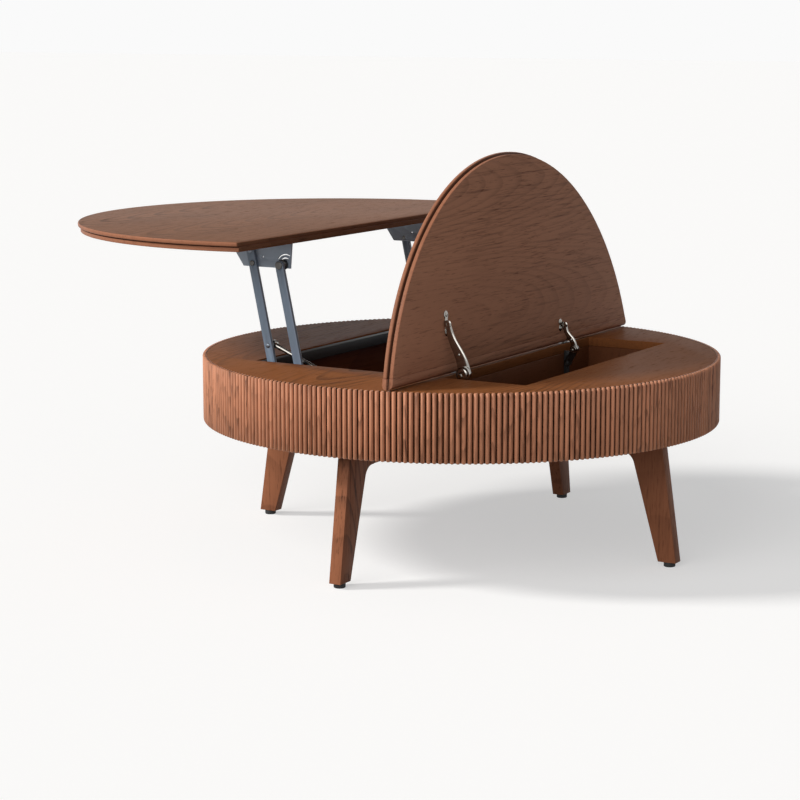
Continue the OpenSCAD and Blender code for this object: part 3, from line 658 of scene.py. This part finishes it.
# %% Lipping
# The flap's straight edge is one solid strip, so its faces are cut at the neck's two heights,
# and the band between them gets the groove's painted shade.
up, to_seam = UP_OF["flap"], SEAM_OF["flap"]
lipping = boards["flap_lipping"]
stain_and_shade_faces(lipping, WOODS["flap_top"],
            lambda f: f.normal.dot(up) > 0.5 or f.normal.dot(to_seam) > 0.5)
stain_and_shade_faces(lipping, WOODS["rim"], lambda f: faces_out(f, up, to_seam))
for height in (neck, neck + GROOVE_HEIGHT):
    split_at(lipping, up, height)
# painted shade on the band of the neck
stain_and_shade_faces(lipping, WOODS["groove_shade"], lambda f: faces_out(f, up, to_seam)
            and neck < f.center.dot(up) < neck + GROOVE_HEIGHT)
print("lipping faces", len(lipping.data.polygons))

# %% [markdown]
# ## Slats round the drum
# The rim is a bent strip of half-round slats. Geometry Nodes stand one slat on each point
# of a circle: the circle has a point per slat, Instance on Points turns each slat outwards,
# and Realize Instances makes one mesh of them.

# %% Mesh of rings
def ring_mesh(name, rows):
    """A closed mesh of rings of points: neighbours are joined, and both ends are filled."""
    mesh = bpy.data.meshes.new(name)
    work = bmesh.new()
    rings = [[work.verts.new(point) for point in row] for row in rows]
    for one, two in zip(rings, rings[1:]):
        for i in range(len(one)):
            j = (i + 1) % len(one)
            work.faces.new((one[i], one[j], two[j], two[i]))
    work.faces.new(rings[0])
    work.faces.new(rings[-1])
    bmesh.ops.recalc_face_normals(work, faces=work.faces)
    work.to_mesh(mesh)
    work.free()
    return mesh


# %% Slat tree
SLAT_COUNT = 304
SLAT_SHARE = 0.77       # a slat's width as a share of the pitch, and the rest is the gap
PAINTED_SHADE_SHARE = 0.42    # painted shade at the back of the gaps reaches this share of the depth
slat_pitch = 2 * math.pi * BAND_R / SLAT_COUNT
SLAT_DEPTH = DRUM_R - BAND_R


def slat_profile_mesh(width, depth, height, arc_steps=9, end_round=0.0015):
    """One slat along Z: flat sides, a half-round front, a flat back and softened ends."""
    half = width / 2
    turns = [math.pi * (i / (arc_steps - 1) - 0.5) for i in range(arc_steps)]
    front = [(depth - half + half * math.cos(a), half * math.sin(a)) for a in turns]
    front = [(0.0, -half)] + front + [(0.0, half)]
    levels = ((0.0, end_round), (end_round, 0.0), (height - end_round, 0.0),
              (height, end_round))
    mesh = ring_mesh("slat", [[(max(x - inset, 0.0), y * (1 - inset / half), z)
                               for x, y in front] for z, inset in levels])
    for face in mesh.polygons:
        face.use_smooth = abs(face.normal.z) < 0.9
    return mesh


def build_slat_tree(material):
    tree = bpy.data.node_groups.new("slats_round_a_drum", "GeometryNodeTree")
    socket(tree, "Geometry", "NodeSocketGeometry", "INPUT")
    socket(tree, "Slat", "NodeSocketObject", "INPUT")
    socket(tree, "Count", "NodeSocketInt", "INPUT", 300)
    socket(tree, "Radius", "NodeSocketFloat", "INPUT", 0.5)
    socket(tree, "Bottom", "NodeSocketFloat", "INPUT", 0.25)
    socket(tree, "Width jitter", "NodeSocketFloat", "INPUT", 0.03)
    socket(tree, "Seed", "NodeSocketInt", "INPUT", 3)
    socket(tree, "Geometry", "NodeSocketGeometry", "OUTPUT")
    inside = tree.nodes.new("NodeGroupInput").outputs
    circle = node(tree, "GeometryNodeMeshCircle",
                  {"Vertices": inside["Count"], "Radius": inside["Radius"]})
    lift = node(tree, "ShaderNodeCombineXYZ", {"Z": inside["Bottom"]})
    raised = node(tree, "GeometryNodeSetPosition",
                  {"Geometry": circle.outputs["Mesh"], "Offset": lift.outputs[0]})
    place = node(tree, "GeometryNodeInputPosition")
    flat = node(tree, "ShaderNodeVectorMath",
                {0: place.outputs[0], 1: (1.0, 1.0, 0.0)}, operation="MULTIPLY")
    turn = node(tree, "FunctionNodeAlignRotationToVector", {"Vector": flat.outputs[0]},
                axis="X", pivot_axis="Z")
    width = node(tree, "FunctionNodeRandomValue", {"Seed": inside["Seed"]},
                 data_type="FLOAT")
    low = math_node(tree, "SUBTRACT", 1.0, inside["Width jitter"])
    tree.links.new(low, width.inputs[2])
    width.inputs[3].default_value = 1.0
    scale = node(tree, "ShaderNodeCombineXYZ", {"X": 1.0, "Y": width.outputs[1], "Z": 1.0})
    slat_info = node(tree, "GeometryNodeObjectInfo", {"Object": inside["Slat"]})
    stood = node(tree, "GeometryNodeInstanceOnPoints",
                 {"Points": raised.outputs[0], "Instance": slat_info.outputs["Geometry"],
                  "Rotation": turn.outputs[0], "Scale": scale.outputs[0]})
    real = node(tree, "GeometryNodeRealizeInstances", {"Geometry": stood.outputs[0]})
    painted = node(tree, "GeometryNodeSetMaterial",
                   {"Geometry": real.outputs[0], "Material": material})
    node(tree, "NodeGroupOutput", {0: painted.outputs[0]})
    return tree


def grown(name, tree, values, start=None):
    """An object whose mesh a Geometry Nodes tree makes, turned into a plain mesh."""
    piece = bpy.data.objects.new(name, start or bpy.data.meshes.new(name))
    bpy.context.collection.objects.link(piece)
    modifier = piece.modifiers.new(name, "NODES")
    modifier.node_group = tree
    sockets = {item.name: item.identifier for item in tree.interface.items_tree
               if item.in_out == "INPUT"}
    for key, value in values.items():
        modifier[sockets[key]] = value
    piece.update_tag()
    return apply_modifiers(piece)


slat = bpy.data.objects.new("one_slat", slat_profile_mesh(
    slat_pitch * SLAT_SHARE, SLAT_DEPTH, DECK_TOP - BAND_BOTTOM))
slat_tree = build_slat_tree(WOODS["slats"])
slats = grown("drum_slats", slat_tree, {
    "Slat": slat, "Count": SLAT_COUNT, "Radius": BAND_R, "Bottom": BAND_BOTTOM,
    "Width jitter": 0.03, "Seed": 3})
finish_piece(slats, "drum", WOODS["slats"], ["slat_band"])
# painted shade at the backs of the gaps between slats
stain_and_shade_faces(slats, WOODS["groove_shade"],
            lambda f: f.center.xy.length < BAND_R + SLAT_DEPTH * PAINTED_SHADE_SHARE)
print("slats", SLAT_COUNT, "pitch", round(slat_pitch * 1000, 2), "mm, faces",
      len(slats.data.polygons))

# %% [markdown]
# ## Metalwork
# Arms, brackets and plates are cut and folded steel with broken edges, so they are softened
# copies with a bevel of a few tenths of a millimetre. The screws and the parts of the two
# stays that show are left out here, because they get a shape of their own below.

# %% Metal pieces
SCREW_NODES = ("plate_screws", "hinge_screws", "stay_screws", "bracket_screws")
OWN_SHAPE = SCREW_NODES + ("large_stay_upper_arm", "small_stay_upper_arm",
                           "large_stay_bracket", "small_stay_bracket")
FINISH_OF = {"front_arm_bolt": "rivet_steel", "rear_arm_bolt": "rivet_steel",
             "front_upper_studs": "dark_steel", "rear_upper_studs": "dark_steel",
             "large_stay_lower_arm": "dark_steel", "small_stay_lower_arm": "dark_steel",
             "hinge_knuckles": "dark_steel", "hinge_pins": "dark_steel",
             # the brackets take the lighter copy of the arm paint, which is painted light
             "front_bracket": "bracket_paint", "rear_bracket": "bracket_paint"}
metal_nodes = [n for n in frame["nodes"] if SLOT_OF[n] in METALS and n not in OWN_SHAPE]
for name in metal_nodes:
    # a gas tube's crimped end is finer than the bevel, so it keeps its own edges
    width = 0.0 if name.endswith("gas_tube") else 0.0004
    softened(name, METALS[FINISH_OF.get(name, SLOT_OF[name])], width, 2, 40)
print("metal pieces", len(metal_nodes))

# %% [markdown]
# ## Screws
# The frame holds a plain plug for every screw. Each plug is one island of its node's mesh,
# so its middle and its thin direction say where the screw sits and how it points. Geometry
# Nodes then put one modelled head with a cross slot on each of these points.

# %% Screw places
def islands(mesh):
    """The loose parts of a mesh, as lists of points."""
    work = bmesh.new()
    work.from_mesh(mesh)
    bmesh.ops.remove_doubles(work, verts=work.verts, dist=MERGE)
    left, found = set(work.verts), []
    while left:
        group, edge = [], [left.pop()]
        while edge:
            vert = edge.pop()
            group.append(vert.co.copy())
            for link in vert.link_edges:
                other = link.other_vert(vert)
                if other in left:
                    left.discard(other)
                    edge.append(other)
        found.append(group)
    work.free()
    return found


def screw_places(node_name):
    """Middle of each head's seat, and the way the head looks."""
    places = []
    for points in islands(frame["nodes"][node_name].data):
        low = Vector(min(p[i] for p in points) for i in range(3))
        high = Vector(max(p[i] for p in points) for i in range(3))
        size = high - low
        axis = min(range(3), key=lambda i: size[i])
        out = Vector((0, 0, 0))
        if axis == 1:
            out.y = 1 if low.y < 0 else -1
        elif axis == 2:
            out.z = 1 if node_name == "hinge_screws" else -1
        else:
            out.x = 1
        middle = (low + high) / 2
        middle[axis] = high[axis] if out[axis] > 0 else low[axis]
        if node_name == "bracket_screws":
            middle[axis] = high[axis]
        places.append((middle, out))
    return places


# %% Screw head
def socket_reach(shape, radius, angle):
    """How far out a point of a ring lies: round, hexagon, or cross."""
    if shape == "hexagon":
        step = math.tau / 6
        return radius * math.cos(step / 2) / math.cos(angle % step - step / 2)
    if shape == "cross":
        across, along = sorted((abs(math.cos(angle)), abs(math.sin(angle))))
        return min(radius / along, radius * 0.26 / max(across, 0.001))
    return radius


def turned_rows(outline, centre, axis, sides=48):
    """Rings of points: an outline of (radius, height, shape) turned about an axis."""
    spin = Vector((0, 0, 1)).rotation_difference(axis)
    rows = []
    for radius, height, shape in outline:
        row = []
        for i in range(sides):
            angle = math.tau * i / sides
            reach = socket_reach(shape, radius, angle)
            row.append(centre + spin @ Vector((
                reach * math.cos(angle), reach * math.sin(angle), height)))
        rows.append(row)
    return rows


def screw_head_mesh(radius, height):
    """A low dome with a cross-shaped hollow, standing on z = 0 and looking along +Z."""
    outline = [(radius, 0, "round"), (radius, height * 0.3, "round"),
               (radius * 0.86, height * 0.72, "round"),
               (radius * 0.66, height * 0.95, "round"),
               (radius * 0.5, height, "cross"), (radius * 0.45, height * 0.35, "cross")]
    return ring_mesh("screw_head", turned_rows(outline, Vector((0, 0, 0)),
                                               Vector((0, 0, 1)), sides=32))


# %% Screw tree
def build_screw_tree(material):
    tree = bpy.data.node_groups.new("screws_on_points", "GeometryNodeTree")
    socket(tree, "Geometry", "NodeSocketGeometry", "INPUT")
    socket(tree, "Head", "NodeSocketObject", "INPUT")
    socket(tree, "Size", "NodeSocketFloat", "INPUT", 1.0)
    socket(tree, "Seed", "NodeSocketInt", "INPUT", 5)
    socket(tree, "Geometry", "NodeSocketGeometry", "OUTPUT")
    inside = tree.nodes.new("NodeGroupInput").outputs
    way = node(tree, "GeometryNodeInputNamedAttribute", {"Name": "way"},
               data_type="FLOAT_VECTOR")
    stood = node(tree, "FunctionNodeAlignRotationToVector",
                 {"Vector": way.outputs["Attribute"]}, axis="Z")
    spin = node(tree, "FunctionNodeRandomValue", {"Seed": inside["Seed"]}, data_type="FLOAT")
    spin.inputs[2].default_value = 0.0
    spin.inputs[3].default_value = math.tau
    about = node(tree, "ShaderNodeCombineXYZ", {"Z": spin.outputs[1]})
    turned = node(tree, "FunctionNodeRotateRotation",
                  {"Rotation": stood.outputs[0], "Rotate By": about.outputs[0]},
                  rotation_space="LOCAL")
    info = node(tree, "GeometryNodeObjectInfo", {"Object": inside["Head"]})
    heads = node(tree, "GeometryNodeInstanceOnPoints",
                 {"Points": inside["Geometry"], "Instance": info.outputs["Geometry"],
                  "Rotation": turned.outputs[0], "Scale": inside["Size"]})
    real = node(tree, "GeometryNodeRealizeInstances", {"Geometry": heads.outputs[0]})
    painted = node(tree, "GeometryNodeSetMaterial",
                   {"Geometry": real.outputs[0], "Material": material})
    node(tree, "NodeGroupOutput", {0: painted.outputs[0]})
    return tree


head = bpy.data.objects.new("one_screw_head", screw_head_mesh(0.0038, 0.0016))
screw_tree = build_screw_tree(METALS["brushed_plate"])
for name in SCREW_NODES:
    places = screw_places(name)
    start = bpy.data.meshes.new(name + "_points")
    start.from_pydata([middle for middle, out in places], [], [])
    ways = start.attributes.new("way", "FLOAT_VECTOR", "POINT")
    for value, (middle, out) in zip(ways.data, places):
        value.vector = out
    piece = grown(name + "_heads", screw_tree, {"Head": head, "Size": 1.0, "Seed": 5}, start)
    finish_piece(piece, BODY_OF[name], METALS["brushed_plate"], [name])
    print(name, len(places))

# %% [markdown]
# ## The flap's stays
# The large stay is a cast and plated lever: slender and curved at the flap, wide where it
# meets a ringed elbow cap with a hexagon socket. The lever is made of oval rings along a
# curve, with a width for each ring, and the cap is one outline turned about the pin. Lever,
# eye and bolt ride on the upper arm, the cap on the lower arm, and the lobed plate, its ear
# and its two screws on the flap.

# %% Stay helpers
PLATE_THICK = 0.002


def lever_rows(path, widths, thickness, y, sides=16):
    """Flat oval rings along a path in X and Z, with a width for each step."""
    rows = []
    for i, (point, width) in enumerate(zip(path, widths)):
        ahead = path[min(i + 1, len(path) - 1)]
        behind = path[max(i - 1, 0)]
        way = (ahead - behind).normalized()
        side = Vector((way.y, -way.x))
        row = []
        for k in range(sides):
            a = math.tau * k / sides
            out = side * (width / 2 * math.copysign(abs(math.cos(a)) ** 0.7, math.cos(a)))
            deep = thickness / 2 * math.copysign(abs(math.sin(a)) ** 0.5, math.sin(a))
            row.append((point.x + out.x, y + deep, point.y + out.y))
        rows.append(row)
    return rows


def plate_rows(centre, long_way, out, half_length, lobe, waist, steps=40):
    """Rings along a plate with a round lobe at each end and a narrower waist."""
    wide_way = out.cross(long_way)
    thick = PLATE_THICK
    levels = [(0.0, 0.0), (thick * 0.6, 0.0), (thick, thick * 0.5)]
    rows = []
    for step in range(steps + 1):
        u = -math.cos(math.pi * step / steps) * half_length
        past = abs(u) - (half_length - lobe)
        half = max(math.sqrt(max(lobe ** 2 - past ** 2, 0)), waist if past < 0 else 0, 0.0002)
        row = []
        for side, order in ((1, levels), (-1, levels[::-1])):
            for height, inset in order:
                w = max(half - inset, 0.0001) * side
                long = u * (1 - inset / half_length)
                row.append(centre + long_way * long + wide_way * w + out * height)
        rows.append(row)
    return rows


def s_curve(start, end, bow, steps):
    """A straight line with one gentle S across it."""
    way = end - start
    side = Vector((way.y, -way.x)).normalized()
    return [start + way * t + side * (bow * math.sin(math.tau * t))
            for t in (i / steps for i in range(steps + 1))]


def bright_piece(name, rows, body, replaced=()):
    """A piece of bright steel made of rings of points."""
    mesh = ring_mesh(name, rows)
    piece = bpy.data.objects.new(name, mesh)
    bpy.context.collection.objects.link(piece)
    for face in mesh.polygons:
        face.use_smooth = True
    mesh.set_sharp_from_angle(angle=math.radians(32))
    finish_piece(piece, body, METALS["bright_steel"], replaced)


# %% Both stays
TO_FRONT = Vector((0, -1, 0))
ALONG_FLAP = -SEAM_OF["flap"]
OFF_FLAP = -UP_OF["flap"]
HINGE_AT = Vector(JOINTS["flap_hinge"]["pos_m"])
UNDERSIDE = max((v.co - HINGE_AT).dot(OFF_FLAP)
                for v in boards["flap_underboard"].data.vertices)
LEVER_STEPS = 24
BOLT_STEP, BOLT_RADIUS = 9, 0.0026
PLATE_FORWARD = 0.0075  # from the back of the CAD bracket to the middle of the plate
EAR_STEPS, EAR_THICK = 6, 0.0025
# rings of the cap: share of its radius, and height over the face of the lower arm
CAP_RINGS = ((1.00, 0.0004), (0.93, 0.0014), (0.84, 0.0014), (0.80, 0.0003), (0.70, 0.0003),
             (0.66, 0.0020), (0.60, 0.0025), (0.32, 0.0025))


def stay_points(size):
    """Elbow and anchor in X and Z. The elbow is the foot plus the anchor's reach."""
    foot = Vector(JOINTS[size + "_stay_foot"]["pos_m"])
    anchor = Vector(JOINTS[size + "_stay_anchor"]["pos_m"])
    elbow = foot + anchor - HINGE_AT
    return Vector((elbow.x, elbow.z)), Vector((anchor.x, anchor.z))


def dome(radius, height=0.0016):
    """Outline of a low bolt head with a hexagon socket."""
    return [(radius, -0.0004, "round"), (radius, height * 0.4, "round"),
            (radius * 0.8, height * 0.8, "round"), (radius * 0.45, height, "round"),
            (radius * 0.4, height, "hexagon"), (radius * 0.4, height * 0.45, "hexagon")]


def build_stay(size, bow, widths, cap_r, plate_half, lobe):
    stay, upper, lower = (size + end for end in ("_stay", "_stay_upper", "_stay_lower"))
    low, high = (Vector(corner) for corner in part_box(size + "_stay_upper_arm"))
    middle_y, thick = (low.y + high.y) / 2, high.y - low.y
    elbow, anchor = stay_points(size)
    path = s_curve(elbow, anchor, bow, LEVER_STEPS)
    spread = [widths[0] + (widths[1] - widths[0]) * (i / LEVER_STEPS)
              for i in range(LEVER_STEPS + 1)]
    bright_piece(stay + "_lever", lever_rows(path, spread, thick * 1.15, middle_y), upper,
                 [stay + "_upper_arm"])
    # the ringed cap is on the face of the lower arm, which is in front of the lever
    face_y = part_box(size + "_stay_lower_arm")[0][1]
    cap = [(cap_r, -thick * 0.8, "round")]
    cap += [(cap_r * share, height, "round") for share, height in CAP_RINGS]
    cap += [(cap_r * 0.30, 0.0025, "hexagon"), (cap_r * 0.28, 0.0003, "hexagon")]
    bright_piece(stay + "_cap", turned_rows(cap, Vector((elbow.x, face_y, elbow.y)),
                                            TO_FRONT), lower)
    for part, at, radius in (("eye", path[-1], widths[1] * 0.72),
                             ("bolt", path[BOLT_STEP], BOLT_RADIUS)):
        bright_piece(f"{stay}_{part}", turned_rows(
            dome(radius), Vector((at.x, low.y, at.y)), TO_FRONT), upper)
    # the plate on the flap, its two screws and its ear
    bracket_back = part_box(size + "_stay_bracket")[1][1]
    along = (Vector((anchor.x, 0, anchor.y)) - HINGE_AT).dot(ALONG_FLAP)
    foot_at = HINGE_AT + ALONG_FLAP * along + OFF_FLAP * UNDERSIDE
    plate = Vector((foot_at.x, bracket_back - PLATE_FORWARD, foot_at.z))
    bright_piece(stay + "_plate", plate_rows(plate, ALONG_FLAP, OFF_FLAP, plate_half, lobe,
                                             waist=lobe * 0.62), "flap", [stay + "_bracket"])
    for side, end in (("low", -1), ("high", 1)):
        at = plate + ALONG_FLAP * end * (plate_half - lobe) + OFF_FLAP * PLATE_THICK
        bright_piece(f"{stay}_plate_screw_{side}", turned_rows(dome(lobe * 0.55), at, OFF_FLAP),
                     "flap")
    start = Vector((foot_at.x, foot_at.z))
    ear = [start.lerp(anchor, i / EAR_STEPS) for i in range(EAR_STEPS + 1)]
    bright_piece(stay + "_ear", lever_rows(ear, [0.012 - 0.0006 * i for i in range(len(ear))],
                                           EAR_THICK, high.y + EAR_THICK), "flap")


build_stay("large", bow=0.0025, widths=(0.027, 0.010), cap_r=0.0148, plate_half=0.023,
           lobe=0.0072)
build_stay("small", bow=0.003, widths=(0.013, 0.008), cap_r=0.0085, plate_half=0.0125,
           lobe=0.0065)
print("stays built")
